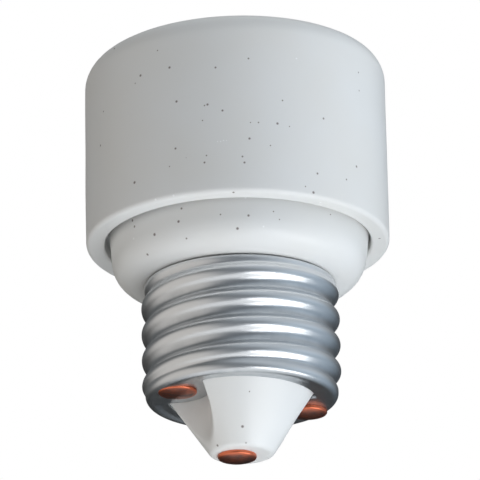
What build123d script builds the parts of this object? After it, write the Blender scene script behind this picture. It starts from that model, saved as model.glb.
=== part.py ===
from build123d import *
import os

# Porcelain adapter between a lampholder and a lamp, with the medium Edison screw on both sides.
# The screw base points down and the mouth points up, with +Z along the axis.
# The origin is on the axis, in the plane of the base insulator's underside, where the screw shell begins.
# The two shell rivets stand on the X axis.

os.makedirs("parts", exist_ok=True)

# Driving dimensions, in millimetres

# Medium Edison screw, a rounded rolled thread of seven turns to the inch
thread_pitch = 25.4 / 7
thread_crest_width = 0.7
thread_land = 0.2
thread_sink = 0.2
sheet_thickness = 0.4

# Screw shell of the base
base_crest_radius = 13.15
base_crest_height = 0.43
base_root_depth = 0.42
base_shell_height = 16.2
base_shell_gap = 0.15
base_crest_foot = 2.06
base_crest_top = 1.25
base_crest_angle = 150
base_root_foot = 2.05
base_root_top = 1.75
base_foot_chamfer = 0.6
flange_hole_gap = 0.2

# Base insulator, the inner porcelain piece
neck_clearance = 0.35
dome_land = 0.12
dome_round = 3.8
skirt_height = 8.2
skirt_draft = 0.8
shoulder_width = 1.9
nose_length = 7.8
nose_radius = 4.1
nose_chamfer = 0.6
scallop_radius = 5.6
scallop_offset = 0.95

# Socket cup, the outer porcelain piece
skirt_gap = 0.35
cup_lap = 2.6
cup_rim_wall = 2.45
cup_rim_chamfer = 0.4
cup_lap_chamfer = 0.4
cup_floor = 2.6
cup_top_round = 3.3
cup_top_land = 0.7
mouth_chamfer = 0.5
mouth_depth = 4.6
mouth_step_gap = 0.4
mouth_clearance = 0.8

# Screw shell of the socket
thread_fit = 0.2
socket_thread_depth = 0.9
socket_bead_width = 2.4
socket_shell_height = 15.6
socket_shell_clearance = 0.35
socket_thread_foot = 2.6
socket_thread_top = 2.2
socket_thread_angle = 30
socket_flange_margin = 1.1
socket_foot_chamfer = 0.3

# Rivets
rivet_edge_distance = 2.0
rivet_shank_radius = 1.25
rivet_clearance = 0.15
rivet_head_radius = 2.55
rivet_head_edge = 0.45
rivet_head_dome = 0.5
rivet_upset_radius = 1.9
rivet_upset_height = 0.8
rivet_upset_chamfer = 0.3

# Sprung centre contact
well_depth = 7.0
well_clearance = 0.55
washer_thickness = 0.5
washer_clearance = 0.25
button_travel = 2.0
button_nose_radius = 2.3
button_nose_chamfer = 0.6
button_flange_thickness = 0.8
button_clearance = 0.3
button_stop_gap = 0.1
spring_wire_radius = 0.3
spring_bore_clearance = 0.25
spring_turns = 3
spring_wire_sides = 5
spring_seat_gap = 0.1

# Radii and heights that follow from them

bead_width = thread_pitch / 2 - thread_land
base_root_angle = base_crest_angle + 180 + 360 * (base_root_foot - base_crest_foot) / thread_pitch
base_shell_radius = base_crest_radius - base_crest_height
base_bore_radius = base_shell_radius - base_root_depth - sheet_thickness
neck_radius = base_bore_radius - neck_clearance
nose_top_radius = neck_radius - shoulder_width
flange_hole_radius = nose_top_radius + flange_hole_gap
shell_top_z = -base_shell_gap
shell_foot_z = -base_shell_height
shoulder_z = shell_foot_z + sheet_thickness
rivet_circle_radius = neck_radius - rivet_edge_distance
rivet_hole_radius = rivet_shank_radius + rivet_clearance
scallop_circle_radius = rivet_circle_radius + scallop_offset

skirt_foot_radius = base_shell_radius + dome_land + dome_round
skirt_top_radius = skirt_foot_radius + skirt_draft
nose_z = shoulder_z - nose_length
spring_radius = rivet_upset_radius + spring_bore_clearance + spring_wire_radius
well_radius = spring_radius + spring_wire_radius + well_clearance
well_floor_z = skirt_height - well_depth

recess_radius = skirt_top_radius + skirt_gap
cup_radius = recess_radius + cup_rim_wall
cup_rim_z = skirt_height - cup_lap
cup_floor_z = skirt_height + cup_floor

socket_root_radius = base_crest_radius + thread_fit
socket_shell_radius = socket_root_radius + sheet_thickness
socket_shell_top_z = cup_floor_z + socket_shell_height
socket_flange_z = cup_floor_z + sheet_thickness
socket_flange_hole_radius = rivet_circle_radius - rivet_hole_radius - socket_flange_margin
pocket_radius = socket_shell_radius + socket_shell_clearance
mouth_radius = pocket_radius + mouth_clearance
mouth_step_z = socket_shell_top_z + mouth_step_gap
cup_top_z = mouth_step_z + mouth_depth
top_wall = cup_radius - mouth_radius - mouth_chamfer - cup_top_land
top_round = min(cup_top_round, top_wall)

seat_z = well_floor_z + washer_thickness
button_flange_radius = well_radius - button_clearance
button_flange_top_z = skirt_height - button_stop_gap
button_flange_z = button_flange_top_z - button_flange_thickness
button_top_z = cup_floor_z + button_travel
button_hole_radius = button_nose_radius + button_clearance


def corner(profile, x, z):
    """The corner of a half section at that place."""
    return profile.vertices().sort_by_distance((x, z))[0]


def thread_turns(radius, height, foot_width, low_z, high_z):
    """A right-hand helical bead outside a wall of that radius, or inside it where the height is negative."""
    out = 1 if height > 0 else -1
    slope = (foot_width - thread_crest_width) / 2 / abs(height)
    sunk_width = foot_width + 2 * slope * thread_sink
    with BuildPart() as turns:
        with BuildLine(Plane.XY.offset(low_z)) as path:
            Helix(thread_pitch, high_z - low_z, radius)
        with BuildSketch(Plane(origin=(radius, 0, low_z), x_dir=(1, 0, 0), z_dir=(0, -1, 0))):
            with BuildLine():
                Polyline(
                    (-out * thread_sink, -sunk_width / 2),
                    (height, -thread_crest_width / 2),
                    (height, thread_crest_width / 2),
                    (-out * thread_sink, sunk_width / 2),
                    close=True,
                )
            make_face()
        sweep(path=path.line, is_frenet=True)
    return turns.part


def rivet(centre_x, head_z, seat_top_z):
    """A domed head below head_z, a shank, and an upset end that grips the sheet at seat_top_z."""
    edge_z = head_z - rivet_head_edge
    end_z = seat_top_z + rivet_upset_height
    section = Plane(origin=(centre_x, 0, 0), x_dir=(1, 0, 0), z_dir=(0, -1, 0))
    with BuildPart() as piece:
        with BuildSketch(section):
            with BuildLine():
                crown = (0, edge_z - rivet_head_dome)
                rim = (rivet_head_radius, edge_z)
                TangentArc(crown, rim, tangent=(1, 0))
                Polyline(
                    rim,
                    (rivet_head_radius, head_z),
                    (rivet_shank_radius, head_z),
                    (rivet_shank_radius, seat_top_z),
                    (rivet_upset_radius, seat_top_z),
                    (rivet_upset_radius, end_z),
                    (0, end_z),
                    crown,
                )
            make_face()
        revolve(axis=Axis((centre_x, 0, 0), (0, 0, 1)))
        chamfer(piece.edges().group_by(Axis.Z)[-1], rivet_upset_chamfer)
    return piece.part


# Inner porcelain piece: skirt, neck inside the screw shell, and the conical nose with its two scallops
with BuildPart() as base_insulator:
    with BuildSketch(Plane.XZ) as profile:
        with BuildLine():
            Polyline(
                (0, skirt_height),
                (skirt_top_radius, skirt_height),
                (skirt_foot_radius, 0),
                (neck_radius, 0),
                (neck_radius, shoulder_z),
                (nose_top_radius, shoulder_z),
                (nose_radius, nose_z),
                (0, nose_z),
                close=True,
            )
        make_face()
        fillet(corner(profile, skirt_foot_radius, 0), dome_round)
        chamfer(corner(profile, nose_radius, nose_z), nose_chamfer)
    revolve(axis=Axis.Z)
    with BuildSketch(Plane.XY.offset(shoulder_z)):
        with PolarLocations(scallop_circle_radius, 2):
            Circle(scallop_radius)
    extrude(amount=-nose_length, mode=Mode.SUBTRACT)
    with BuildSketch(Plane.XY.offset(skirt_height)):
        with PolarLocations(rivet_circle_radius, 2):
            Circle(rivet_hole_radius)
    extrude(amount=shoulder_z - skirt_height, mode=Mode.SUBTRACT)
    with BuildSketch(Plane.XY.offset(skirt_height)):
        Circle(well_radius)
    extrude(amount=-well_depth, mode=Mode.SUBTRACT)
    with BuildSketch(Plane.XY.offset(well_floor_z)):
        Circle(rivet_hole_radius)
    extrude(amount=nose_z - well_floor_z, mode=Mode.SUBTRACT)
base_insulator.part.label = "base_insulator"
export_step(base_insulator.part, "parts/base_insulator.step")

# Drawn and rolled sheet shell round the neck, with a flange that fits round the nose and fills its scallops
base_crests = thread_turns(
    base_shell_radius,
    base_crest_height,
    bead_width,
    shell_foot_z + base_crest_foot,
    -base_crest_top,
)
base_roots = thread_turns(
    base_shell_radius,
    -base_root_depth,
    bead_width,
    shell_foot_z + base_root_foot,
    -base_root_top,
)
with BuildPart() as base_screw_shell:
    with BuildSketch(Plane.XZ) as profile:
        with BuildLine():
            Polyline(
                (base_shell_radius, shell_top_z),
                (base_shell_radius, shell_foot_z),
                (0, shell_foot_z),
                (0, shoulder_z),
                (base_bore_radius, shoulder_z),
                (base_bore_radius, shell_top_z),
                close=True,
            )
        make_face()
        chamfer(corner(profile, base_shell_radius, shell_foot_z), base_foot_chamfer)
    revolve(axis=Axis.Z)
    add(base_crests, rotation=(0, 0, base_crest_angle))
    add(base_roots, rotation=(0, 0, base_root_angle), mode=Mode.SUBTRACT)
    with BuildSketch(Plane.XY.offset(shell_foot_z)):
        Circle(flange_hole_radius)
        with PolarLocations(scallop_circle_radius, 2):
            Circle(scallop_radius - flange_hole_gap, mode=Mode.SUBTRACT)
        with PolarLocations(rivet_circle_radius, 2):
            Circle(rivet_hole_radius)
    extrude(amount=sheet_thickness, mode=Mode.SUBTRACT)
base_screw_shell.part.label = "base_screw_shell"
export_step(base_screw_shell.part, "parts/base_screw_shell.step")

# Outer porcelain piece: the cup over the base's skirt, with a floor, a pocket for the shell and a plain mouth
with BuildPart() as socket_cup:
    with BuildSketch(Plane.XZ) as profile:
        with BuildLine():
            Polyline(
                (0, skirt_height),
                (recess_radius, skirt_height),
                (recess_radius, cup_rim_z),
                (cup_radius, cup_rim_z),
                (cup_radius, cup_top_z),
                (mouth_radius + mouth_chamfer, cup_top_z),
                (mouth_radius, cup_top_z - mouth_chamfer),
                (mouth_radius, mouth_step_z),
                (pocket_radius, mouth_step_z),
                (pocket_radius, cup_floor_z),
                (0, cup_floor_z),
                close=True,
            )
        make_face()
        chamfer(corner(profile, recess_radius, cup_rim_z), cup_lap_chamfer)
        chamfer(corner(profile, cup_radius, cup_rim_z), cup_rim_chamfer)
        fillet(corner(profile, cup_radius, cup_top_z), top_round)
    revolve(axis=Axis.Z)
    with BuildSketch(Plane.XY.offset(cup_floor_z)):
        Circle(button_hole_radius)
        with PolarLocations(rivet_circle_radius, 2):
            Circle(rivet_hole_radius)
    extrude(amount=-cup_floor, mode=Mode.SUBTRACT)
socket_cup.part.label = "socket_cup"
export_step(socket_cup.part, "parts/socket_cup.step")

# Sheet shell that takes the lamp, with the same thread inside and a flange on the cup's floor
socket_crests = thread_turns(
    socket_root_radius,
    -socket_thread_depth,
    socket_bead_width,
    cup_floor_z + socket_thread_foot,
    socket_shell_top_z - socket_thread_top,
)
with BuildPart() as socket_screw_shell:
    with BuildSketch(Plane.XZ) as profile:
        with BuildLine():
            Polyline(
                (socket_flange_hole_radius, cup_floor_z),
                (socket_shell_radius, cup_floor_z),
                (socket_shell_radius, socket_shell_top_z),
                (socket_root_radius, socket_shell_top_z),
                (socket_root_radius, socket_flange_z),
                (socket_flange_hole_radius, socket_flange_z),
                close=True,
            )
        make_face()
        chamfer(corner(profile, socket_shell_radius, cup_floor_z), socket_foot_chamfer)
    revolve(axis=Axis.Z)
    add(socket_crests, rotation=(0, 0, socket_thread_angle))
    with BuildSketch(Plane.XY.offset(cup_floor_z)):
        with PolarLocations(rivet_circle_radius, 2):
            Circle(rivet_hole_radius)
    extrude(amount=sheet_thickness, mode=Mode.SUBTRACT)
socket_screw_shell.part.label = "socket_screw_shell"
export_step(socket_screw_shell.part, "parts/socket_screw_shell.step")

# Two rivets that clamp both shells and both porcelain pieces together
with BuildPart() as shell_rivets:
    for side in (-1, 1):
        add(rivet(side * rivet_circle_radius, shell_foot_z, socket_flange_z))
shell_rivets.part.label = "shell_rivets"
export_step(shell_rivets.part, "parts/shell_rivets.step")

# Rivet in the nose, the lower centre contact
with BuildPart() as centre_rivet:
    add(rivet(0, nose_z, seat_z))
centre_rivet.part.label = "centre_rivet"
export_step(centre_rivet.part, "parts/centre_rivet.step")

# Washer in the well, under the centre rivet's upset end and the spring
with BuildPart() as contact_washer:
    with BuildSketch(Plane.XY.offset(well_floor_z)):
        Circle(well_radius - washer_clearance)
        Circle(rivet_hole_radius, mode=Mode.SUBTRACT)
    extrude(amount=washer_thickness)
contact_washer.part.label = "contact_washer"
export_step(contact_washer.part, "parts/contact_washer.step")

# Coil spring from the washer to the button's flange
with BuildPart() as contact_spring:
    low_z = seat_z + spring_seat_gap + spring_wire_radius
    high_z = button_flange_z - spring_seat_gap - spring_wire_radius
    with BuildLine(Plane.XY.offset(low_z)) as coil:
        Helix((high_z - low_z) / spring_turns, high_z - low_z, spring_radius)
    with BuildSketch(Plane(origin=(spring_radius, 0, low_z), x_dir=(1, 0, 0), z_dir=(0, -1, 0))):
        RegularPolygon(spring_wire_radius, spring_wire_sides)
    sweep(path=coil.line, is_frenet=True)
contact_spring.part.label = "contact_spring"
export_step(contact_spring.part, "parts/contact_spring.step")

# Sprung contact: a round nose through the cup's floor, and a flange that is stopped under it
with BuildPart() as contact_button:
    with BuildSketch(Plane.XZ) as profile:
        with BuildLine():
            Polyline(
                (0, button_flange_z),
                (button_flange_radius, button_flange_z),
                (button_flange_radius, button_flange_top_z),
                (button_nose_radius, button_flange_top_z),
                (button_nose_radius, button_top_z),
                (0, button_top_z),
                close=True,
            )
        make_face()
        chamfer(corner(profile, button_nose_radius, button_top_z), button_nose_chamfer)
    revolve(axis=Axis.Z)
contact_button.part.label = "contact_button"
export_step(contact_button.part, "parts/contact_button.step")
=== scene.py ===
"""Looks of a porcelain lamp socket adapter with rolled screw shells, copper rivets and a sprung contact."""

import math

import bpy
from bpy.props import FloatProperty, FloatVectorProperty, IntProperty, PointerProperty
from mathutils import Matrix, Vector, noise


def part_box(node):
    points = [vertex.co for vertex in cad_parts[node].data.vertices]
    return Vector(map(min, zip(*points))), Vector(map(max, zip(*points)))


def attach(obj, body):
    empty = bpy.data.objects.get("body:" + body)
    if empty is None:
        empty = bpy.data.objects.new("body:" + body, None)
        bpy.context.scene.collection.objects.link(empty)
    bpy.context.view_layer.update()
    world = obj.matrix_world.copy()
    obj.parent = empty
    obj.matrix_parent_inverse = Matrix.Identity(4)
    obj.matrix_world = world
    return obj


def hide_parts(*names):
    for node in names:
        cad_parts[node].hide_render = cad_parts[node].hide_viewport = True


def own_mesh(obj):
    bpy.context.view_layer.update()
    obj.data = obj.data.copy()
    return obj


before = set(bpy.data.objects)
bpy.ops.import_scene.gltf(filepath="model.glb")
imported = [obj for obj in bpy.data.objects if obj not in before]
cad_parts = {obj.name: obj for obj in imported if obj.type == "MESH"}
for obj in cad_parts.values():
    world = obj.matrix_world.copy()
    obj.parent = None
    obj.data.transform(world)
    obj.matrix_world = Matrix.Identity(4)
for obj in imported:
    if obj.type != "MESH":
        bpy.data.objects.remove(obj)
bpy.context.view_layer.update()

bl_info = {
    "name": "Lamp socket adapter",
    "version": (1, 0, 0),
    "blender": (4, 5, 0),
    "location": "View3D > Sidebar > Adapter",
    "description": "Models and stages a porcelain lamp socket adapter around its packed frame",
    "category": "Object",
}

MM = 0.001
UP = Vector((0, 0, 1))
IMAGE_SIZE = 480

# Steps of each piece round the axis, and the sides of a drilled hole and of the spring's wire
CUP_STEPS = 192
BASE_STEPS = 480
BASE_SHELL_STEPS = 240
SOCKET_SHELL_STEPS = 192
SMALL_STEPS = 72
COIL_STEPS = 40
HOLE_SIDES = 48
WIRE_SIDES = 14
# Steps of an outline: degrees in each step of a round, the fewest there, and the steps of the closing line
ROUND_STEP = 9
FEWEST_ROUND_STEPS = 3
CLOSING_STEPS = 3
# Points nearer than the first are merged, and points nearer than the second count as at one height
MERGE_GAP = 0.002 * MM
LEVEL_GAP = 0.01 * MM

# Heights and radii that the frame gives
CUP_LOW, CUP_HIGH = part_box("socket_cup")
BASE_LOW, BASE_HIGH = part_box("base_insulator")
SHELL_LOW, SHELL_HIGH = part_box("base_screw_shell")
SOCKET_LOW, SOCKET_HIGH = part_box("socket_screw_shell")
WASHER_LOW, WASHER_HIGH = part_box("contact_washer")
SPRING_LOW, SPRING_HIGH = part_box("contact_spring")
BUTTON_LOW, BUTTON_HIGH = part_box("contact_button")
RIVET_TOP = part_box("shell_rivets")[1].z
NOSE_RIVET_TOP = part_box("centre_rivet")[1].z

# Column and row in the picture, and radius in hundredths of a millimetre, of the iron specks that show
SPECKS = (
    (114, 48, 14), (248, 58, 13), (169, 67, 17), (215, 67, 14), (140, 75, 18), (176, 101, 17),
    (207, 104, 16), (222, 110, 15), (323, 118, 15), (277, 123, 17), (249, 138, 16), (100, 145, 15),
    (175, 148, 15), (242, 156, 13), (244, 162, 15), (204, 162, 14), (356, 166, 17), (317, 173, 15),
    (346, 179, 13), (134, 182, 20), (313, 192, 19), (233, 192, 16), (181, 208, 15), (248, 215, 16),
    (132, 220, 18), (178, 221, 19), (134, 226, 17), (237, 228, 19), (154, 234, 21), (379, 238, 17),
    (186, 238, 13), (147, 254, 18), (249, 391, 10), (242, 426, 20), (217, 445, 17), (157, 50, 10),
    (358, 72, 12), (282, 100, 12), (204, 105, 11), (103, 111, 11), (202, 120, 10), (250, 122, 9),
    (258, 122, 11), (289, 126, 9), (270, 145, 10), (206, 155, 11), (169, 166, 9), (305, 186, 10),
    (273, 211, 10), (220, 214, 11), (330, 214, 10), (279, 219, 9), (367, 230, 10),
)
# The same for the pale pin bubbles, and for the short scuff on the wall
BUBBLES = (
    (133, 238, 16), (155, 199, 15), (173, 195, 14), (245, 197, 15), (263, 226, 13), (320, 202, 14),
    (296, 58, 12),
)
SCUFF = ((217, 141, 9), (220, 141, 10), (223, 140, 10), (226, 140, 8))
MARK_UNIT = 0.01 * MM


def srgb(code):
    """A hex colour as linear red, green and blue."""
    parts = [int(code[i:i + 2], 16) / 255 for i in (1, 3, 5)]
    return tuple(p / 12.92 if p <= 0.04045 else ((p + 0.055) / 1.055) ** 2.4 for p in parts)


def length(name, description, default):
    """A size in metres that a user may change."""
    return FloatProperty(name=name, description=description, default=default, unit="LENGTH", precision=5)


def colour(name, description, code):
    """A colour that a user may change."""
    return FloatVectorProperty(
        name=name, description=description, default=srgb(code), subtype="COLOR", min=0, max=1
    )


def angle(name, description, degrees):
    """An angle that a user may change."""
    return FloatProperty(name=name, description=description, default=math.radians(degrees), unit="ROTATION")


def pixels(name, description, default):
    """A place in the picture that a user may change."""
    return FloatProperty(name=name, description=description, default=default, subtype="PIXEL")


class PorcelainSettings(bpy.types.PropertyGroup):
    """Sizes and colours of the two glazed pieces."""

    wall: length("Rim wall", "Thickness of the cup's wall at its lower rim", 2.45 * MM)
    rim_round: length("Rim round", "Round of the cup's lower outer edge", 0.65 * MM)
    top_round: length("Top round", "Round of the cup's upper outer edge", 3.0 * MM)
    top_lean: length("Top lean", "How far the fired top rises on one side", 0.25 * MM)
    skirt_draft: length("Skirt draft", "How far the skirt narrows downwards", 0.8 * MM)
    skirt_shift: length("Skirt shift", "How far the skirt stands off the middle of the cup's rim", 0.17 * MM)
    dome_round: length("Dome round", "Round between the base's skirt and its underside", 3.8 * MM)
    neck: length("Neck", "Radius of the base inside its shell", 11.55 * MM)
    nose_top: length("Nose top", "Radius of the nose where it leaves the flange", 9.62 * MM)
    nose_end: length("Nose end", "Radius of the nose at its lower end", 4.1 * MM)
    nose_round: length("Nose round", "Round of the nose's lower edge", 0.9 * MM)
    scallop_radius: length("Scallop radius", "Radius of the hollow beside each rivet", 5.6 * MM)
    scallop_circle: length("Scallop circle", "Distance of the hollows' axes from the middle", 10.5 * MM)
    scallop_edge: length("Scallop edge", "How far the glaze rounds the scallop's edges", 0.5 * MM)
    well: length("Well", "Radius of the spring's well", 3.3 * MM)
    rivet_hole: length("Rivet hole", "Radius of the holes for the rivets", 1.4 * MM)
    button_hole: length("Button hole", "Radius of the hole for the contact in the cup's floor", 2.6 * MM)
    waver: length("Waver", "How far the fired wall departs from a true round", 0.05 * MM)
    glaze: colour("Glaze", "Colour of the glaze", "#DFE1E2")
    glaze_warm: colour("Warm glaze", "Colour of the glaze where it pools", "#DAD8D3")
    speck: colour("Speck", "Colour of the iron specks in the glaze", "#54403A")
    bubble: colour("Bubble", "Colour of the pin bubbles in the glaze", "#F4F5F5")


class ShellSettings(bpy.types.PropertyGroup):
    """Sizes and colours of the two screw shells."""

    pitch: length("Pitch", "Height of one turn of the thread, seven to the inch", 25.4 / 7 * MM)
    crest_radius: length("Crest radius", "Outside radius of the base's thread", 13.15 * MM)
    depth: length("Thread depth", "From crest to root", 0.85 * MM)
    first_crest: length("First crest", "Height of the crest over the X axis", -1.14 * MM)
    sheet: length("Sheet", "Thickness of the rolled sheet", 0.4 * MM)
    foot_round: length("Foot round", "Round between the wall and the flange", 0.9 * MM)
    crook: length("Crook", "How far the flange is pressed in on its one side", 0.25 * MM)
    top_gap: length("Top gap", "How far the rolled edge stops short of the porcelain", 0.1 * MM)
    shift: length("Shift", "How far the shell stands off the middle of the base", 0.17 * MM)
    flange_gap: length("Flange gap", "Between the flange and the nose", 0.2 * MM)
    socket_depth: length("Socket thread depth", "From crest to root in the socket", 0.9 * MM)
    socket_hole: length("Socket flange hole", "Radius of the hole in the socket shell's floor", 7.05 * MM)
    metal: colour("Metal", "Colour of the satin sheet", "#E4E6E8")
    # Grime and painted shade: the thread's roots and the flange are darkened towards this colour
    grime_and_shade: colour("Grime", "Colour of the dull film in the roots", "#8A939B")


class RivetSettings(bpy.types.PropertyGroup):
    """Sizes and colours of the copper rivets."""

    circle: length("Circle", "Distance of each shell rivet from the axis", 9.55 * MM)
    head_radius: length("Head radius", "Radius of the heads", 2.55 * MM)
    head_edge: length("Head edge", "Height of the edge of a head", 0.45 * MM)
    head_dome: length("Head dome", "Height of the dome of a head", 0.5 * MM)
    shank: length("Shank", "Radius of the shanks", 1.25 * MM)
    upset: length("Upset", "Radius of the upset ends", 1.9 * MM)
    upset_height: length("Upset height", "Height of the upset ends", 0.8 * MM)
    head_shift: length("Head shift", "How far the shell rivets' heads were upset off the middle", 0.3 * MM)
    nose_shift: length("Nose shift", "How far the nose's head was upset off the middle", 0.62 * MM)
    flat_head: FloatProperty(
        name="Flat head",
        description="Height of the flatter head as a share of the other's",
        default=0.75,
        min=0,
        max=1,
        subtype="FACTOR",
    )
    copper: colour("Copper", "Colour of the clean copper", "#E67E5C")
    # Tarnish and painted shade: the faces of the heads are darkened towards this colour
    tarnish_and_shade: colour("Tarnish", "Colour of the worn and tarnished faces", "#7A605A")


class ContactSettings(bpy.types.PropertyGroup):
    """Sizes and colours of the sprung centre contact."""

    nose: length("Nose", "Radius of the button's nose", 2.3 * MM)
    flange_height: length("Flange height", "Thickness of the button's flange", 0.8 * MM)
    wire_radius: length("Wire radius", "Radius of the spring's wire", 0.3 * MM)
    turns: IntProperty(name="Turns", description="Turns of the spring", default=3, min=1)
    brass: colour("Brass", "Colour of the turned brass", "#C9A565")
    steel: colour("Steel", "Colour of the drawn spring wire", "#A7A9AB")


class StageSettings(bpy.types.PropertyGroup):
    """Camera and studio."""

    azimuth: angle("Azimuth", "Camera's direction round the axis", -26.3)
    elevation: angle("Elevation", "Camera's height, below the level where negative", -20.7)
    roll: angle("Roll", "Camera's turn about its own line of sight", 1.1)
    distance: length("Distance", "From the camera to the middle of the view", 600 * MM)
    view_width: length("View width", "Width of the view at the adapter", 64 * MM)
    mark_z: length("Mark", "Height of the point on the axis that the picture is set by", 6.0 * MM)
    mark_column: pixels("Column", "Column where that point shows", 237.9)
    mark_row: pixels("Row", "Row where that point shows", 243.9)
    floor_z: length("Floor", "Height of the floor, under the camera", -600 * MM)
    tent_radius: length("Tent", "Radius of the light tent", 1000 * MM)


class AdapterSettings(bpy.types.PropertyGroup):
    """All settings of the adapter."""

    porcelain: PointerProperty(type=PorcelainSettings, name="Porcelain", description="The glazed pieces")
    shell: PointerProperty(type=ShellSettings, name="Shells", description="The screw shells")
    rivet: PointerProperty(type=RivetSettings, name="Rivets", description="The copper rivets")
    contact: PointerProperty(type=ContactSettings, name="Contact", description="The sprung contact")
    stage: PointerProperty(type=StageSettings, name="Stage", description="Camera and studio")


def level_back(settings):
    """The level direction from the adapter to the camera."""
    return Vector((math.sin(settings.azimuth), -math.cos(settings.azimuth), 0))


def picture_axes(settings):
    """The way back to the camera, the picture's right and up, its middle in space and a pixel's size."""
    back = level_back(settings) * math.cos(settings.elevation) + UP * math.sin(settings.elevation)
    side = UP.cross(back).normalized()
    up = back.cross(side)
    picture_up = up * math.cos(settings.roll) + side * math.sin(settings.roll)
    picture_side = picture_up.cross(back)
    pixel = settings.view_width / IMAGE_SIZE
    middle = IMAGE_SIZE / 2
    aim = UP * settings.mark_z
    aim += picture_side * (middle - settings.mark_column) * pixel
    aim += picture_up * (settings.mark_row - middle) * pixel
    return back, picture_side, picture_up, aim, pixel


def picture_right(context):
    """The picture's right as a direction in space."""
    return picture_axes(context.scene.adapter.stage)[1]


def line_to(here, there, steps):
    """Extrudes the selected point along a straight run."""
    step = (there - here) / steps
    for _ in range(steps):
        bpy.ops.mesh.extrude_region_move(TRANSFORM_OT_translate={"value": (step.x, 0, step.y)})


def draw_outline(name, corners, closed):
    """Draws a half section in the XZ plane. A corner is a radius, a height, its round and the steps to it."""
    bpy.ops.object.select_all(action="DESELECT")
    bpy.ops.mesh.primitive_plane_add(size=MM)
    piece = bpy.context.object
    piece.name = piece.data.name = name
    bpy.ops.object.mode_set(mode="EDIT")
    bpy.ops.mesh.select_mode(type="VERT")
    bpy.ops.mesh.select_all(action="SELECT")
    bpy.ops.mesh.merge(type="CENTER")
    points = [Vector(corner[:2]) for corner in corners]
    following = points[1:] + points[:1]
    here = points[0]
    bpy.ops.transform.translate(value=(here.x, 0, here.y))
    for index, (_, _, round_radius, steps) in enumerate(corners[1:], start=1):
        corner = points[index]
        if not round_radius:
            line_to(here, corner, steps)
            here = corner
            continue
        back = (points[index - 1] - corner).normalized()
        ahead = (following[index] - corner).normalized()
        half = back.angle(ahead) / 2
        reach = round_radius / math.tan(half)
        centre = corner + (back + ahead).normalized() * (round_radius / math.sin(half))
        sweep = math.pi - 2 * half
        side = 1 if back.x * ahead.y - back.y * ahead.x < 0 else -1
        line_to(here, corner + back * reach, steps)
        count = max(FEWEST_ROUND_STEPS, round(math.degrees(sweep) / ROUND_STEP))
        bpy.ops.mesh.spin(steps=count, angle=side * sweep, center=(centre.x, 0, centre.y), axis=(0, 1, 0))
        here = corner + ahead * reach
    if closed:
        line_to(here, points[0], CLOSING_STEPS)
    return piece


def close_mesh():
    """Merges the points at seams and poles, turns the faces outwards and leaves edit mode."""
    bpy.ops.mesh.select_all(action="SELECT")
    bpy.ops.mesh.remove_doubles(threshold=MERGE_GAP)
    bpy.ops.mesh.normals_make_consistent(inside=False)
    bpy.ops.object.mode_set(mode="OBJECT")


def turned(name, corners, steps, closed=True):
    """A piece turned from its half section, which is closed, or open for a sheet."""
    piece = draw_outline(name, corners, closed)
    bpy.ops.mesh.select_all(action="SELECT")
    bpy.ops.mesh.spin(steps=steps, angle=math.tau, center=(0, 0, 0), axis=(0, 0, 1))
    close_mesh()
    return piece


def move_points(piece, rule):
    """Moves each point of a mesh by a rule that takes its place and gives its new one."""
    for vertex in piece.data.vertices:
        vertex.co = rule(vertex.co)
    piece.data.update()


def mark_points(piece, name, rule):
    """Stores on each point of a mesh, under a name, a value from 0 to 1 by a rule that takes its place."""
    attribute = piece.data.attributes.new(name, "FLOAT", "POINT")
    for vertex, value in zip(piece.data.vertices, attribute.data):
        value.value = rule(vertex.co)


def pick(piece):
    """Selects one piece alone and makes it the active one."""
    bpy.ops.object.select_all(action="DESELECT")
    piece.select_set(True)
    bpy.context.view_layer.objects.active = piece


def apply_modifier(piece, kind, **settings):
    """Adds a modifier to a piece and applies it."""
    pick(piece)
    bpy.ops.object.modifier_add(type=kind)
    modifier = piece.modifiers[-1]
    for setting, value in settings.items():
        setattr(modifier, setting, value)
    bpy.ops.object.modifier_apply(modifier=modifier.name)


def drill_pair(piece, circle, radius, low_z, high_z):
    """Cuts the holes of the two shell rivets through a piece."""
    for centre_x in (-circle, circle):
        bpy.ops.object.select_all(action="DESELECT")
        bpy.ops.mesh.primitive_cylinder_add(
            vertices=HOLE_SIDES, radius=radius, depth=high_z - low_z,
            location=(centre_x, 0, (low_z + high_z) / 2),
        )
        cutter = bpy.context.object
        bpy.ops.object.transform_apply(location=True, rotation=True, scale=True)
        apply_modifier(piece, "BOOLEAN", operation="DIFFERENCE", solver="EXACT", object=cutter)
        bpy.data.objects.remove(cutter)


def smooth(piece, degrees=40):
    """Shades a piece smooth, apart from edges that turn by more than the angle."""
    pick(piece)
    bpy.ops.object.shade_smooth_by_angle(angle=math.radians(degrees))


def finish_piece(piece, material, node_name, body):
    """Gives a piece its material and its body, and hides the frame's node that it stands for."""
    piece.data.materials.clear()
    piece.data.materials.append(material)
    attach(piece, body)
    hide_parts(node_name)


def polar(point):
    """Radius and angle of a point about the axis."""
    return math.hypot(point.x, point.y), math.atan2(point.y, point.x)


def at_radius(point, radius, new_radius):
    """A point moved along its radius to a new one."""
    return Vector((point.x * new_radius / radius, point.y * new_radius / radius, point.z))


def share_between(low, high, value):
    """From 0 at low to 1 at high, and no further."""
    return min(1.0, max(0.0, (value - low) / (high - low)))


def ease(low, high, value):
    """From 0 at low to 1 at high, with soft ends."""
    share = share_between(low, high, value)
    return share * share * (3 - 2 * share)


def hollow_at(turn, circle, radius, beside):
    """Distance from the axis to the wall of the two hollows on X in that direction, or else beside."""
    off = abs(math.asin(math.sin(turn)))
    reach = circle * math.sin(off)
    if reach >= radius:
        return beside
    return min(beside, circle * math.cos(off) - math.sqrt(radius ** 2 - reach ** 2))


def waver_point(point, amount, grain):
    """A point moved a little in or out along its radius, as clay moves in the kiln."""
    radius, _ = polar(point)
    if radius < MM:
        return point.copy()
    return at_radius(point, radius, radius + amount * noise.noise(point / grain))


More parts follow.
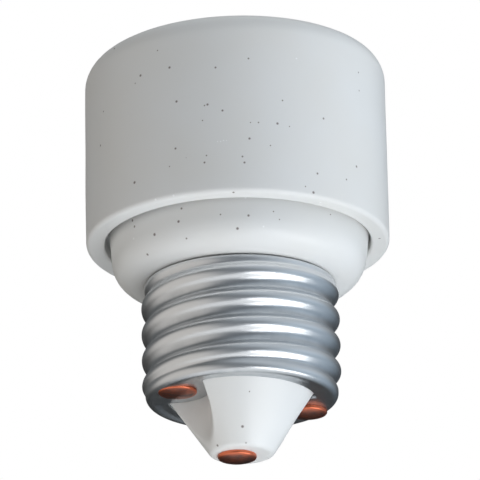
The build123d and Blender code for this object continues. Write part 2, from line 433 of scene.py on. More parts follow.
def node(tree, kind, inputs=None, **settings):
    """Adds a node with its settings, and fills its sockets with values or links."""
    made = tree.nodes.new(kind)
    for setting, value in settings.items():
        setattr(made, setting, value)
    for socket, value in (inputs or {}).items():
        if isinstance(value, bpy.types.NodeSocket):
            tree.links.new(value, made.inputs[socket])
        else:
            made.inputs[socket].default_value = value
    return made


def new_material(name):
    """An empty material, its tree and its object coordinates."""
    material = bpy.data.materials.new(name)
    material.use_nodes = True
    tree = material.node_tree
    tree.nodes.clear()
    place = node(tree, "ShaderNodeTexCoord").outputs["Object"]
    return material, tree, place


def cover(tree, skin, cloud, roughness, relief, strength, depth, **values):
    """Ends a material with its colour, a roughness that follows its clouds, a relief and its other values."""
    low, high = roughness
    satin = node(tree, "ShaderNodeMapRange", {"Value": cloud.outputs["Fac"], "To Min": low, "To Max": high})
    bump = node(
        tree, "ShaderNodeBump", {"Height": relief.outputs["Fac"], "Strength": strength, "Distance": depth}
    )
    links = {
        "Base Color": skin.outputs[2],
        "Roughness": satin.outputs["Result"],
        "Normal": bump.outputs["Normal"],
    }
    shader = node(tree, "ShaderNodeBsdfPrincipled", {**links, **values})
    node(tree, "ShaderNodeOutputMaterial", {"Surface": shader.outputs["BSDF"]})


def spots(tree, place, marks, depth):
    """A mask of round spots with soft edges, from the place and radius of each."""
    core, rim = 0.55, 1.25
    mask = None
    for point, radius in marks:
        gap = node(tree, "ShaderNodeVectorMath", {0: place, 1: point}, operation="DISTANCE")
        spot = node(
            tree, "ShaderNodeMapRange",
            {
                "Value": gap.outputs["Value"],
                "From Min": core * radius,
                "From Max": rim * radius,
                "To Min": depth,
                "To Max": 0.0,
            },
        )
        mask = spot.outputs["Result"] if mask is None else node(
            tree, "ShaderNodeMath", {0: mask, 1: spot.outputs["Result"]}, operation="MAXIMUM"
        ).outputs[0]
    return mask


def glazed_porcelain(settings, specks, bubbles):
    """White porcelain under a clear glaze, fired."""
    # The eye sees a soft gloss over a not quite even white, with small dark specks and pale pin points
    material, tree, place = new_material("porcelain_white_glaze")
    cloud_width = 14 * MM
    wave_width = 2.5 * MM
    wave_height = 0.05 * MM
    cloud = node(
        tree, "ShaderNodeTexNoise",
        {"Vector": place, "Scale": 1 / cloud_width, "Detail": 2.0, "Roughness": 0.55},
    )
    glaze = node(
        tree, "ShaderNodeMix",
        {0: cloud.outputs["Fac"], 6: (*settings.glaze, 1), 7: (*settings.glaze_warm, 1)}, data_type="RGBA",
    )
    # Fine specks all over, for the sides that the picture doesn't show
    speck_pitch = 3.4 * MM
    speck_core = 0.06 * MM
    speck_rim = 0.16 * MM
    bare_share = 0.45
    fine = node(tree, "ShaderNodeTexVoronoi", {"Vector": place, "Scale": 1 / speck_pitch, "Randomness": 1.0})
    fine_speck = node(
        tree, "ShaderNodeMapRange",
        {
            "Value": fine.outputs["Distance"],
            "From Min": speck_core / speck_pitch,
            "From Max": speck_rim / speck_pitch,
            "To Min": 0.6,
            "To Max": 0.0,
        },
    )
    chance = node(tree, "ShaderNodeSeparateColor", {"Color": fine.outputs["Color"]})
    kept = node(tree, "ShaderNodeMath", {0: chance.outputs["Red"], 1: bare_share}, operation="GREATER_THAN")
    sparse = node(
        tree, "ShaderNodeMath", {0: fine_speck.outputs["Result"], 1: kept.outputs[0]}, operation="MULTIPLY"
    )
    placed = spots(tree, place, specks, depth=0.8)
    dark = node(tree, "ShaderNodeMath", {0: sparse.outputs[0], 1: placed}, operation="MAXIMUM")
    speckled = node(
        tree, "ShaderNodeMix",
        {0: dark.outputs[0], 6: glaze.outputs[2], 7: (*settings.speck, 1)}, data_type="RGBA",
    )
    pinned = spots(tree, place, bubbles, depth=0.7)
    skin = node(
        tree, "ShaderNodeMix",
        {0: pinned, 6: speckled.outputs[2], 7: (*settings.bubble, 1)}, data_type="RGBA",
    )
    peel = node(
        tree, "ShaderNodeTexNoise",
        {"Vector": place, "Scale": 1 / wave_width, "Detail": 1.0, "Roughness": 0.5},
    )
    cover(tree, skin, cloud, (0.29, 0.38), relief=peel, strength=0.25, depth=wave_height, IOR=1.5)
    return material


def rolled_sheet(name, settings):
    """Aluminium sheet, drawn and thread-rolled."""
    # The eye sees satin metal with bright crests, a darker dull film in the roots and on the flange, partly
    # grime and partly painted shade, and faint lines round the axis
    material, tree, place = new_material(name)
    cloud_width = 3 * MM
    # Real rolling lines are finer than a pixel of the picture, so these are drawn about a pixel high
    line_length = 4 * MM
    line_height = 0.12 * MM
    line_depth = 0.02 * MM
    film_and_shade_top = 0.45
    height = node(tree, "ShaderNodeAttribute", attribute_name="crest").outputs["Fac"]
    cloud = node(
        tree, "ShaderNodeTexNoise",
        {"Vector": place, "Scale": 1 / cloud_width, "Detail": 4.0, "Roughness": 0.6},
    )
    # Painted shade and grime: strongest in the roots and all over the flange, fading out towards the crests
    film_and_shade = node(
        tree, "ShaderNodeMapRange",
        {"Value": height, "From Min": 0.0, "From Max": film_and_shade_top, "To Min": 0.7, "To Max": 0.0},
    )
    dull = node(
        tree, "ShaderNodeMath", {0: film_and_shade.outputs["Result"], 1: cloud.outputs["Fac"]}, operation="MULTIPLY"
    )
    skin = node(
        tree, "ShaderNodeMix",
        {0: dull.outputs[0], 6: (*settings.metal, 1), 7: (*settings.grime_and_shade, 1)}, data_type="RGBA",
    )
    stretched = node(
        tree, "ShaderNodeMapping",
        {"Vector": place, "Scale": (1 / line_length, 1 / line_length, 1 / line_height)},
    )
    lines = node(
        tree, "ShaderNodeTexNoise",
        {"Vector": stretched.outputs["Vector"], "Scale": 1.0, "Detail": 3.0, "Roughness": 0.6},
    )
    cover(tree, skin, cloud, (0.28, 0.36), relief=lines, strength=0.1, depth=line_depth, Metallic=1.0)
    return material


def bare_copper(name, settings):
    """Bare copper, upset cold."""
    # The eye sees orange red satin at the edges of the heads, and dull brown clouds on their faces, partly
    # tarnish and partly painted shade where the faces reflect dark surroundings
    material, tree, place = new_material(name)
    cloud_width = 1.6 * MM
    dent_depth = 0.05 * MM
    cloud = node(
        tree, "ShaderNodeTexNoise",
        {"Vector": place, "Scale": 1 / cloud_width, "Detail": 4.0, "Roughness": 0.6},
    )
    patches = node(
        tree, "ShaderNodeMapRange",
        {"Value": cloud.outputs["Fac"], "From Min": 0.3, "From Max": 0.65, "To Min": 0.35, "To Max": 1.0},
    )
    worn_and_shaded = node(tree, "ShaderNodeAttribute", attribute_name="worn_and_shaded").outputs["Fac"]
    share = node(tree, "ShaderNodeMath", {0: patches.outputs["Result"], 1: worn_and_shaded}, operation="MULTIPLY")
    # Painted shade as well as tarnish: the faces of the heads are mixed towards the dark colour
    skin = node(
        tree, "ShaderNodeMix",
        {0: share.outputs[0], 6: (*settings.copper, 1), 7: (*settings.tarnish_and_shade, 1)}, data_type="RGBA",
    )
    cover(tree, skin, cloud, (0.28, 0.42), relief=cloud, strength=0.2, depth=dent_depth, Metallic=1.0)
    return material


def turned_metal(name, tint, ring_pitch):
    """Bare metal from a lathe or a drawing die."""
    # The eye sees satin metal in faint clouds, with fine rings. Real rings are finer than a pixel of the
    # picture, so these are drawn coarser. A unit of the wave is 20 radians, which sets them ring_pitch apart
    material, tree, place = new_material(name)
    wave_unit = 20
    ring_depth = 0.02 * MM
    cloud_width = 1.5 * MM
    cloud_shade = 0.6
    rings = node(
        tree, "ShaderNodeTexWave",
        {"Vector": place, "Scale": math.tau / wave_unit / ring_pitch, "Distortion": 0.6, "Detail": 2.0},
        wave_type="RINGS", rings_direction="Z",
    )
    cloud = node(
        tree, "ShaderNodeTexNoise",
        {"Vector": place, "Scale": 1 / cloud_width, "Detail": 3.0, "Roughness": 0.6},
    )
    dark = tuple(cloud_shade * part for part in tint)
    skin = node(
        tree, "ShaderNodeMix", {0: cloud.outputs["Fac"], 6: (*tint, 1), 7: (*dark, 1)}, data_type="RGBA"
    )
    cover(tree, skin, cloud, (0.28, 0.42), relief=rings, strength=0.15, depth=ring_depth, Metallic=1.0)
    return material


def shared(make, name, *arguments):
    """The material of that name, made at its first use."""
    return bpy.data.materials.get(name) or make(name, *arguments)


class ADAPTER_OT_socket_cup(bpy.types.Operator):
    """Models the outer porcelain cup"""

    bl_idname = "adapter.socket_cup"
    bl_label = "Socket cup"

    def execute(self, context):
        settings = context.scene.adapter.porcelain
        shell_room, mouth_step, pocket_rise = 0.35 * MM, 0.8 * MM, 0.4 * MM
        lap_round, mouth_round, step_round = 0.4 * MM, 0.5 * MM, 0.25 * MM
        floor_round, edge_round = 0.3 * MM, 0.2 * MM
        lean_start = 18 * MM
        grain = 9 * MM
        outer = CUP_HIGH.x
        recess = outer - settings.wall
        top = CUP_HIGH.z
        lap_top = BASE_HIGH.z
        floor = SOCKET_LOW.z
        pocket = SOCKET_HIGH.x + shell_room
        mouth = pocket + mouth_step
        step = SOCKET_HIGH.z + pocket_rise
        hole = settings.button_hole
        cup = turned(
            "socket_cup_glazed",
            [
                (hole, lap_top),
                (recess, lap_top, lap_round, 6),
                (recess, CUP_LOW.z, lap_round, 4),
                (outer, CUP_LOW.z, settings.rim_round, 4),
                (outer, top, settings.top_round, 24),
                (mouth, top, mouth_round, 3),
                (mouth, step, step_round, 6),
                (pocket, step, edge_round, 2),
                (pocket, floor, floor_round, 8),
                (hole, floor, edge_round, 6),
            ],
            CUP_STEPS,
        )
        drill_pair(cup, context.scene.adapter.rivet.circle, settings.rivet_hole, lap_top - MM, floor + MM)
        right = picture_right(context)

        def fire(point):
            lean = settings.top_lean * ease(lean_start, top, point.z) * point.dot(right) / outer
            return waver_point(point, settings.waver, grain) + Vector((0, 0, lean))

        move_points(cup, fire)
        smooth(cup, degrees=30)
        return {"FINISHED"}


class ADAPTER_OT_base_insulator(bpy.types.Operator):
    """Models the inner porcelain piece with its skirt, neck and nose"""

    bl_idname = "adapter.base_insulator"
    bl_label = "Base insulator"

    def execute(self, context):
        settings = context.scene.adapter.porcelain
        shell = context.scene.adapter.shell
        right = picture_right(context)
        skirt_round, neck_round, edge_round = 0.5 * MM, 0.3 * MM, 0.2 * MM
        shift_end = 5 * MM
        grain = 8 * MM
        near = 0.02 * MM
        drill_start = 0.1 * MM
        shoulder = SHELL_LOW.z + shell.crook + shell.sheet
        neck_start = settings.neck - neck_round
        base = turned(
            "base_insulator_glazed",
            [
                (settings.well, BASE_HIGH.z),
                (BASE_HIGH.x, BASE_HIGH.z, skirt_round, 6),
                (BASE_HIGH.x - settings.skirt_draft, 0, settings.dome_round, 8),
                (settings.neck, 0, 0, 6),
                (settings.neck, shoulder, neck_round, 6),
                (settings.nose_top, shoulder, 0, 8),
                (settings.nose_end, BASE_LOW.z, settings.nose_round, 40),
                (settings.rivet_hole, BASE_LOW.z, edge_round, 4),
                (settings.rivet_hole, WASHER_LOW.z, 0, 6),
                (settings.well, WASHER_LOW.z, edge_round, 3),
            ],
            BASE_STEPS,
        )

        def scallop(turn, beside):
            return hollow_at(turn, settings.scallop_circle, settings.scallop_radius, beside)

        def shape(point):
            point = waver_point(point, settings.waver, grain)
            point += right * (settings.skirt_shift * ease(0, shift_end, point.z))
            radius, turn = polar(point)
            if point.z > shoulder + near or radius < 2 * settings.rivet_hole:
                return point
            if point.z > shoulder - near:
                inner = scallop(turn, settings.nose_top)
                share = max(0, (neck_start - radius) / (neck_start - settings.nose_top))
                return at_radius(point, radius, radius - share * (settings.nose_top - inner))
            hollow = scallop(turn, 2 * settings.nose_top)
            edge = settings.scallop_edge
            share = max(edge - abs(radius - hollow), 0) / edge
            return at_radius(point, radius, min(radius, hollow) - share * share * edge / 4)

        move_points(base, shape)
        circle = context.scene.adapter.rivet.circle
        drill_pair(base, circle, settings.rivet_hole, shoulder - drill_start, BASE_HIGH.z + MM)
        smooth(base)
        return {"FINISHED"}


class ADAPTER_OT_glaze(bpy.types.Operator):
    """Glazes both porcelain pieces, with each speck where the picture shows it"""

    bl_idname = "adapter.glaze"
    bl_label = "Glaze"

    def execute(self, context):
        stage = context.scene.adapter.stage
        cup = bpy.data.objects["socket_cup_glazed"]
        base = bpy.data.objects["base_insulator_glazed"]
        back, picture_side, picture_up, aim, pixel = picture_axes(stage)
        eye = aim + back * stage.distance

        def found(marks):
            places = []
            for column, row, size in marks:
                across = (column + 0.5 - IMAGE_SIZE / 2) * pixel
                rise = (IMAGE_SIZE / 2 - row - 0.5) * pixel
                way = (aim + picture_side * across + picture_up * rise - eye).normalized()
                hits = [piece.ray_cast(eye, way) for piece in (cup, base)]
                seen = [place for hit, place, _, _ in hits if hit]
                places.append((min(seen, key=lambda place: (place - eye).length), size * MARK_UNIT))
            return places

        glaze = glazed_porcelain(context.scene.adapter.porcelain, found(SPECKS), found(BUBBLES + SCUFF))
        finish_piece(cup, glaze, "socket_cup", "adapter")
        finish_piece(base, glaze, "base_insulator", "adapter")
        return {"FINISHED"}


def thread_wave(share):
    """Height along a pitch of a rounded thread, from -1 in the root to 1 on the crest, in two like arcs."""
    # Square of the arcs' radius, where a quarter of the pitch is 1
    arc = 2.76
    share = abs(share - math.floor(share + 0.5))
    on_crest = share <= 0.25
    quarters = 4 * share if on_crest else 4 * (share - 0.5)
    chord = math.sqrt(arc - 1)
    height = (math.sqrt(arc - quarters ** 2) - chord) / (math.sqrt(arc) - chord)
    return height if on_crest else -height


def mark_crests(shell, root, crest):
    """Stores on a shell's points how near they are to the crests, from 0 in the roots, for the dull film of
    grime and painted shade.
    """
    mark_points(shell, "crest", lambda point: share_between(root, crest, polar(point)[0]))


def finish_shell(shell, settings, node_name):
    """Shades a rolled shell and gives it its metal."""
    smooth(shell, degrees=50)
    metal = shared(rolled_sheet, "aluminium_rolled_base", settings)
    finish_piece(shell, metal, node_name, "adapter")


class ADAPTER_OT_base_shell(bpy.types.Operator):
    """Models the base's rolled screw shell"""

    bl_idname = "adapter.base_shell"
    bl_label = "Base screw shell"

    def execute(self, context):
        settings = context.scene.adapter.shell
        porcelain = context.scene.adapter.porcelain
        # Heights where the thread is gone and where it is full, below the rolled edge and above the foot
        edge_gone, edge_full = -0.5 * MM, -1.9 * MM
        foot_gone, foot_full = -15.2 * MM, -14.0 * MM
        foot_top = SHELL_LOW.z + 0.95 * settings.foot_round
        # Share of the flange's width over which it is pressed in
        press_share = 0.6
        half_depth = settings.depth / 2
        middle = settings.crest_radius - half_depth
        flat = middle - settings.foot_round
        hole = porcelain.nose_top + settings.flange_gap
        ear = porcelain.scallop_radius - settings.flange_gap
        shell = turned(
            "base_screw_shell_rolled",
            [
                (middle, SHELL_HIGH.z - settings.top_gap),
                (middle, SHELL_LOW.z, settings.foot_round, 140),
                (hole, SHELL_LOW.z, 0, 12),
            ],
            BASE_SHELL_STEPS,
            closed=False,
        )

        def roll(point):
            radius, turn = polar(point)
            if point.z > foot_top:
                share = (point.z - settings.first_crest) / settings.pitch - turn / math.tau
                fade = ease(edge_gone, edge_full, point.z) * ease(foot_gone, foot_full, point.z)
                return at_radius(point, radius, radius + half_depth * fade * thread_wave(share))
            if radius < flat:
                edge = hollow_at(turn, porcelain.scallop_circle, ear, hole)
                share = (flat - radius) / (flat - hole)
                rise = settings.crook * ease(0, press_share, share) * ease(hole, -hole, point.x)
                return at_radius(point, radius, flat - share * (flat - edge)) + Vector((0, 0, rise))
            return point

        move_points(shell, roll)
        mark_crests(shell, middle - half_depth, middle + half_depth)
        right = picture_right(context)
        shift = Vector((right.x, right.y, 0)) * settings.shift
        move_points(shell, lambda point: point + shift)
        apply_modifier(shell, "SOLIDIFY", thickness=settings.sheet, offset=-1)
        finish_shell(shell, settings, "base_screw_shell")
        return {"FINISHED"}


class ADAPTER_OT_socket_shell(bpy.types.Operator):
    """Models the socket's rolled screw shell"""

    bl_idname = "adapter.socket_shell"
    bl_label = "Socket screw shell"

    def execute(self, context):
        settings = context.scene.adapter.shell
        hole = context.scene.adapter.porcelain.rivet_hole
        circle = context.scene.adapter.rivet.circle
        foot_round = 0.6 * MM
        run_out = 1.5 * MM
        low_z, high_z = SOCKET_LOW.z + 1.6 * MM, SOCKET_HIGH.z - 0.8 * MM
        inner = SOCKET_HIGH.x - settings.sheet
        floor = SOCKET_LOW.z + settings.sheet
        depth = settings.socket_depth
        shell = turned(
            "socket_screw_shell_rolled",
            [
                (inner, SOCKET_HIGH.z),
                (inner, floor, foot_round, 110),
                (settings.socket_hole, floor, 0, 10),
            ],
            SOCKET_SHELL_STEPS,
            closed=False,
        )

        def roll(point):
            radius, turn = polar(point)
            if point.z < floor + foot_round:
                return point
            share = (point.z - low_z) / settings.pitch - turn / math.tau
            fade = ease(low_z, low_z + run_out, point.z) * ease(high_z, high_z - run_out, point.z)
            return at_radius(point, radius, radius - depth / 2 * fade * (1 + thread_wave(share)))

        move_points(shell, roll)
        mark_crests(shell, inner, inner - depth)
        # The drawn sheet is the inner face, so it faces the axis before it gets its thickness
        bpy.ops.object.mode_set(mode="EDIT")
        bpy.ops.mesh.select_all(action="SELECT")
        bpy.ops.mesh.flip_normals()
        bpy.ops.object.mode_set(mode="OBJECT")
        apply_modifier(shell, "SOLIDIFY", thickness=settings.sheet, offset=-1)
        drill_pair(shell, circle, hole, SOCKET_LOW.z - MM, floor + settings.sheet)
        finish_shell(shell, settings, "socket_screw_shell")
        return {"FINISHED"}


def rivet_outline(settings, head_z, end_z):
    """Half section of a rivet from its low domed head up to its upset end."""
    edge_round, seat_round, grip_round, end_round = 0.3 * MM, 0.08 * MM, 0.1 * MM, 0.35 * MM
    edge_z = head_z - settings.head_edge
    grip_z = end_z - settings.upset_height
    rise = settings.head_dome
    ball = (settings.head_radius ** 2 + rise ** 2) / 2 / rise
    spread = math.asin(settings.head_radius / ball)
    # The round of the head's edge takes the place of the dome's last steps
    dome_steps, dome_points = 12, 10
    turns = [spread * step / dome_steps for step in range(dome_points)]
    dome = [(ball * math.sin(turn), edge_z - rise + ball * (1 - math.cos(turn)), 0, 1) for turn in turns]
    return dome + [
        (settings.head_radius, edge_z, edge_round, 1),
        (settings.head_radius, head_z, seat_round, 2),
        (settings.shank, head_z, 0, 3),
        (settings.shank, grip_z, 0, 8),
        (settings.upset, grip_z, grip_round, 3),
        (settings.upset, end_z, end_round, 2),
        (0, end_z, 0, 5),
    ]


class ADAPTER_OT_rivets(bpy.types.Operator):
    """Models the two shell rivets and the rivet in the nose"""

    bl_idname = "adapter.rivets"
    bl_label = "Rivets"

    def execute(self, context):
        settings = context.scene.adapter.rivet
        crook = context.scene.adapter.shell.crook
        copper = shared(bare_copper, "copper_cold_upset", settings)
        right = picture_right(context)
        right.z = 0
        pair = turned("shell_rivets_copper", rivet_outline(settings, SHELL_LOW.z, RIVET_TOP), SMALL_STEPS)
        bpy.ops.object.mode_set(mode="EDIT")
        bpy.ops.mesh.select_all(action="SELECT")
        bpy.ops.transform.translate(value=(-settings.circle, 0, 0))
        bpy.ops.mesh.duplicate_move(TRANSFORM_OT_translate={"value": (2 * settings.circle, 0, 0)})
        bpy.ops.object.mode_set(mode="OBJECT")

        def upset_pair(point):
            drop = point.z - SHELL_LOW.z
            if drop > LEVEL_GAP:
                return point
            height, seat = (settings.flat_head, crook) if point.x < 0 else (1, 0)
            head = Vector((point.x, point.y, SHELL_LOW.z + seat + height * drop))
            return head + right * settings.head_shift

        def upset_nose(point):
            return point if point.z >= BASE_LOW.z + LEVEL_GAP else point + right * -settings.nose_shift

        nose = turned("centre_rivet_copper", rivet_outline(settings, BASE_LOW.z, NOSE_RIVET_TOP), SMALL_STEPS)
        for piece, node_name, head_z, upset in (
            (pair, "shell_rivets", SHELL_LOW.z, upset_pair),
            (nose, "centre_rivet", BASE_LOW.z, upset_nose),
        ):
            self.mark_faces(piece, settings, head_z)
            move_points(piece, upset)
            smooth(piece)
            finish_piece(piece, copper, node_name, "adapter")
        return {"FINISHED"}

    def mark_faces(self, piece, settings, head_z):
        """Stores on each point how far it is tarnished and painted in shade, from 0 at the edge of a head to
        1 on its face.
        """
        wear_and_shade_start, wear_and_shade_full = -0.1, 0.45
        edge_z = head_z - settings.head_edge
        mark_points(
            piece, "worn_and_shaded", lambda point: ease(wear_and_shade_start, wear_and_shade_full, (edge_z - point.z) / settings.head_dome)
        )


class ADAPTER_OT_contact(bpy.types.Operator):
    """Models the sprung contact: button, spring and washer"""

    bl_idname = "adapter.contact"
    bl_label = "Sprung contact"

    def execute(self, context):
        settings = context.scene.adapter.contact
        hole = context.scene.adapter.porcelain.rivet_hole
        brass_rings, steel_rings = 0.296 * MM, 0.197 * MM
        brass = shared(turned_metal, "brass_turned", tuple(settings.brass), brass_rings)
        steel = shared(turned_metal, "spring_steel_drawn", tuple(settings.steel), steel_rings)
        edge_round, neck_round, nose_round = 0.1 * MM, 0.15 * MM, 0.7 * MM
        flange = BUTTON_HIGH.x
        flange_top = BUTTON_LOW.z + settings.flange_height
        button = turned(
            "contact_button_turned",
            [
                (0, BUTTON_LOW.z),
                (flange, BUTTON_LOW.z, edge_round, 3),
                (flange, flange_top, edge_round, 2),
                (settings.nose, flange_top, neck_round, 3),
                (settings.nose, BUTTON_HIGH.z, nose_round, 4),
                (0, BUTTON_HIGH.z, 0, 4),
            ],
            SMALL_STEPS,
        )
        smooth(button)
        finish_piece(button, brass, "contact_button", "contact")
        stamp_round, hole_round = 0.08 * MM, 0.05 * MM
        washer = turned(
            "contact_washer_stamped",
            [
                (hole, WASHER_LOW.z),
                (WASHER_HIGH.x, WASHER_LOW.z, stamp_round, 3),
                (WASHER_HIGH.x, WASHER_HIGH.z, stamp_round, 2),
                (hole, WASHER_HIGH.z, hole_round, 3),
            ],
            SMALL_STEPS,
        )
        smooth(washer)
        finish_piece(washer, brass, "contact_washer", "adapter")
        self.coil(settings, steel)
        return {"FINISHED"}

    def coil(self, settings, steel):
        """Winds the spring from a round section of its wire."""
        wire = settings.wire_radius
        low_z = SPRING_LOW.z + wire
        rise = SPRING_HIGH.z - SPRING_LOW.z - 2 * wire
        bpy.ops.object.select_all(action="DESELECT")
        bpy.ops.mesh.primitive_circle_add(
            vertices=WIRE_SIDES, radius=wire, fill_type="NGON",
            location=(SPRING_HIGH.x - wire, 0, low_z), rotation=(math.pi / 2, 0, 0),
        )
        spring = bpy.context.object
        spring.name = spring.data.name = "contact_spring_wound"
        bpy.ops.object.transform_apply(location=True, rotation=True, scale=True)
        apply_modifier(
            spring, "SCREW", axis="Z", angle=math.tau, screw_offset=rise / settings.turns,
            iterations=settings.turns, steps=COIL_STEPS, render_steps=COIL_STEPS, use_smooth_shade=True,
        )
        bpy.ops.object.mode_set(mode="EDIT")
        close_mesh()
        smooth(spring)
        finish_piece(spring, steel, "contact_spring", "adapter")
        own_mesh(spring)


def soft_lamp(context, name, place, size, power, code):
    """A soft lamp that faces the adapter."""
    data = bpy.data.lights.new(name, "AREA")
    data.shape = "RECTANGLE"
    data.size, data.size_y = size
    data.energy = power
    data.color = srgb(code)
    lamp = bpy.data.objects.new(name, data)
    context.scene.collection.objects.link(lamp)
    lamp.location = place
    lamp.rotation_mode = "QUATERNION"
    lamp.rotation_quaternion = place.to_track_quat("Z", "Y")
    return lamp


class ADAPTER_OT_stage(bpy.types.Operator):
    """Sets up the floor, the light tent, the lamps and the camera"""

    bl_idname = "adapter.stage"
    bl_label = "Stage"

    def execute(self, context):
        settings = context.scene.adapter.stage
        context.scene.view_settings.view_transform = "Standard"
        self.place_camera(context, settings)
        self.lay_floor(settings)
        front = level_back(settings)
        right = UP.cross(front)
        self.hang_tent(settings, front, right)
        self.whiten_world(context)
        # Name, place, size, watts and colour of each lamp. Only the key shows in the metal
        key_size, fill_size = (0.7, 0.16), (0.5, 0.4)
        lamps = (
            ("key", front * 0.23 + right * 0.36 - UP * 0.45, key_size, 1.2, "#FFFFFF"),
            ("side", front * 0.2 + right * 0.45 + UP * 0.35, fill_size, 0.75, "#F8FBFF"),
            ("under", front * 0.14 + right * 0.2 - UP * 0.48, fill_size, 1.45, "#F6FAFF"),
            ("low", right * 0.5 - UP * 0.33, fill_size, 0.45, "#F4F9FF"),
            ("left", front * 0.15 - right * 0.57, fill_size, 0.3, "#FFFAF4"),
            ("front", front * 0.42 + right * 0.2 + UP * 0.38, fill_size, 0.4, "#F6FAFF"),
            ("top", front * -0.2 + UP * 0.57, fill_size, 1.0, "#FFFFFF"),
            ("back", front * -0.55 - right * 0.1 + UP * 0.2, fill_size, 1.6, "#FFFFFF"),
        )
        for name, *facts in lamps:
            soft_lamp(context, name, *facts).visible_glossy = name == "key"
        return {"FINISHED"}

    def place_camera(self, context, settings):
        """Puts the camera where the photo was taken from, below the rim and looking up."""
        back, picture_side, picture_up, aim, _ = picture_axes(settings)
        data = bpy.data.cameras.new("camera")
        data.sensor_width = 36.0
        data.lens = data.sensor_width * settings.distance / settings.view_width
        data.clip_start, data.clip_end = 0.01, 20
        camera = bpy.data.objects.new("camera", data)
        context.scene.collection.objects.link(camera)
        turn = Matrix((picture_side, picture_up, back)).transposed().to_4x4()
        camera.matrix_world = Matrix.Translation(aim + back * settings.distance) @ turn
        context.scene.camera = camera

    def lay_floor(self, settings):
        """A pale floor that fades out into the white surroundings, and hides nothing from below."""
        reach = 0.75 * settings.tent_radius
        fade_start, fade_end = 0.35, 0.74
        glow = 0.3
        bpy.ops.object.select_all(action="DESELECT")
        bpy.ops.mesh.primitive_circle_add(
            vertices=64, radius=reach, fill_type="NGON", location=(0, 0, settings.floor_z)
        )
        floor = bpy.context.object
        floor.name = floor.data.name = "floor"
        material, tree, place = new_material("floor_pale_card")
        far = node(tree, "ShaderNodeVectorMath", {0: place}, operation="LENGTH")
        fade = node(
            tree, "ShaderNodeMapRange",
            {"Value": far.outputs["Value"], "From Min": fade_start, "From Max": fade_end},
            interpolation_type="SMOOTHSTEP",
        )
        under = node(tree, "ShaderNodeNewGeometry").outputs["Backfacing"]
        clear = node(tree, "ShaderNodeMath", {0: fade.outputs["Result"], 1: under}, operation="MAXIMUM")
        path = node(tree, "ShaderNodeLightPath").outputs
        seen = path["Is Camera Ray"]
        for ray in ("Is Glossy Ray", "Is Transmission Ray"):
            seen = node(tree, "ShaderNodeMath", {0: seen, 1: path[ray]}, operation="MAXIMUM").outputs[0]
        pale = node(tree, "ShaderNodeMath", {0: seen, 1: glow}, operation="MULTIPLY")
        card = node(
            tree, "ShaderNodeBsdfPrincipled",
            {"Base Color": (*srgb("#F6F6F5"), 1), "Roughness": 0.9, "Emission Strength": pale.outputs[0]},
        )
        gone = node(tree, "ShaderNodeBsdfTransparent")
        mixed = node(
            tree, "ShaderNodeMixShader",
            {0: clear.outputs[0], 1: card.outputs["BSDF"], 2: gone.outputs["BSDF"]},
        )
        node(tree, "ShaderNodeOutputMaterial", {"Surface": mixed.outputs["Shader"]})
        floor.data.materials.append(material)

    def hang_tent(self, settings, front, right):
        """A round tent of thin cloth that glows: warm on the left, cool in front and right, dark behind."""
        bpy.ops.object.select_all(action="DESELECT")
        bpy.ops.mesh.primitive_uv_sphere_add(segments=64, ring_count=32, radius=settings.tent_radius)
        tent = bpy.context.object
        tent.name = tent.data.name = "tent"
        material, tree, place = new_material("tent_thin_cloth")
        way = node(tree, "ShaderNodeVectorMath", {0: place}, operation="NORMALIZE").outputs["Vector"]
        # Each lobe's direction, the cosines where it starts and is full, its strength at both, its colour
        lobes = (
            (front * -0.94 - UP * 0.34, 0.5, 0.85, 0.14, 0.03, "#EEF3F5"),
            (front * 0.97 - UP * 0.2, 0.5, 0.97, 0.0, 0.09, "#CFE0F8"),
            (front * 0.25 - right * 0.92 - UP * 0.3, 0.5, 0.88, 0.0, 0.5, "#FFF8F0"),
            (right * 0.8 - UP * 0.6, 0.35, 0.9, 0.0, 0.4, "#C6E0F7"),
            (front * 0.3 + right * 0.62 + UP * 0.72, 0.35, 0.9, 0.0, 0.52, "#E2ECF6"),
        )
        glow = None
        for direction, start, full, first, last, code in lobes:
            along = node(tree, "ShaderNodeVectorMath", {0: way, 1: direction}, operation="DOT_PRODUCT")
            strength = node(
                tree, "ShaderNodeMapRange",
                {
                    "Value": along.outputs["Value"],
                    "From Min": start,
                    "From Max": full,
                    "To Min": first,
                    "To Max": last,
                },
                interpolation_type="SMOOTHSTEP",
            )
            light = node(
                tree, "ShaderNodeEmission",
                {"Color": (*srgb(code), 1), "Strength": strength.outputs["Result"]},
            ).outputs["Emission"]
            glow = node(tree, "ShaderNodeAddShader", {0: glow, 1: light}).outputs["Shader"] if glow else light
        node(tree, "ShaderNodeOutputMaterial", {"Surface": glow})
        tent.data.materials.append(material)
        tent.visible_camera = False

    def whiten_world(self, context):
        """White surroundings, as the eye sees them past the adapter."""
        world = bpy.data.worlds.new("white_studio")
        context.scene.world = world
        world.use_nodes = True
        tree = world.node_tree
        tree.nodes.clear()
        light = node(tree, "ShaderNodeBackground", {"Color": (1, 1, 1, 1), "Strength": 1.0})
        node(tree, "ShaderNodeOutputWorld", {"Surface": light.outputs["Background"]})


class ADAPTER_PT_panel(bpy.types.Panel):
    """Lists the adapter's pieces and its stage"""

    bl_idname = "ADAPTER_PT_panel"
    bl_label = "Lamp socket adapter"
    bl_space_type = "VIEW_3D"
    bl_region_type = "UI"
    bl_category = "Adapter"

    def draw(self, context):
        for operator in OPERATORS:
            self.layout.operator(operator.bl_idname)


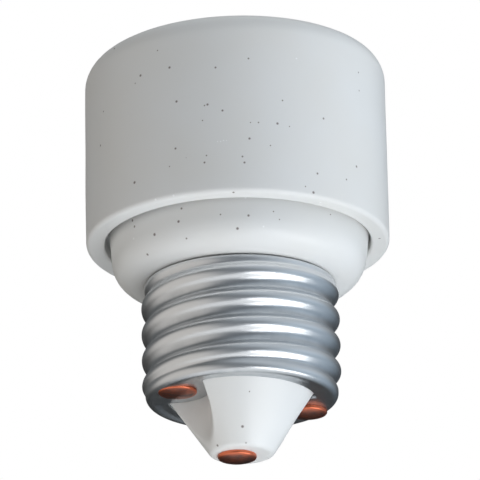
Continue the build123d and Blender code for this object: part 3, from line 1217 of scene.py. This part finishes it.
OPERATORS = (
    ADAPTER_OT_socket_cup,
    ADAPTER_OT_base_insulator,
    ADAPTER_OT_glaze,
    ADAPTER_OT_base_shell,
    ADAPTER_OT_socket_shell,
    ADAPTER_OT_rivets,
    ADAPTER_OT_contact,
    ADAPTER_OT_stage,
)
GROUPS = (PorcelainSettings, ShellSettings, RivetSettings, ContactSettings, StageSettings, AdapterSettings)
CLASSES = (*GROUPS, *OPERATORS, ADAPTER_PT_panel)


def register():
    """Registers the classes and puts the settings on the scene."""
    for item in CLASSES:
        bpy.utils.register_class(item)
    bpy.types.Scene.adapter = PointerProperty(type=AdapterSettings)


def unregister():
    """Takes the settings and the classes away again."""
    del bpy.types.Scene.adapter
    for item in reversed(CLASSES):
        bpy.utils.unregister_class(item)


def main():
    """Makes every piece in order."""
    register()
    for operator in OPERATORS:
        group, name = operator.bl_idname.split(".")
        getattr(getattr(bpy.ops, group), name)()


if __name__ == "__main__":
    main()
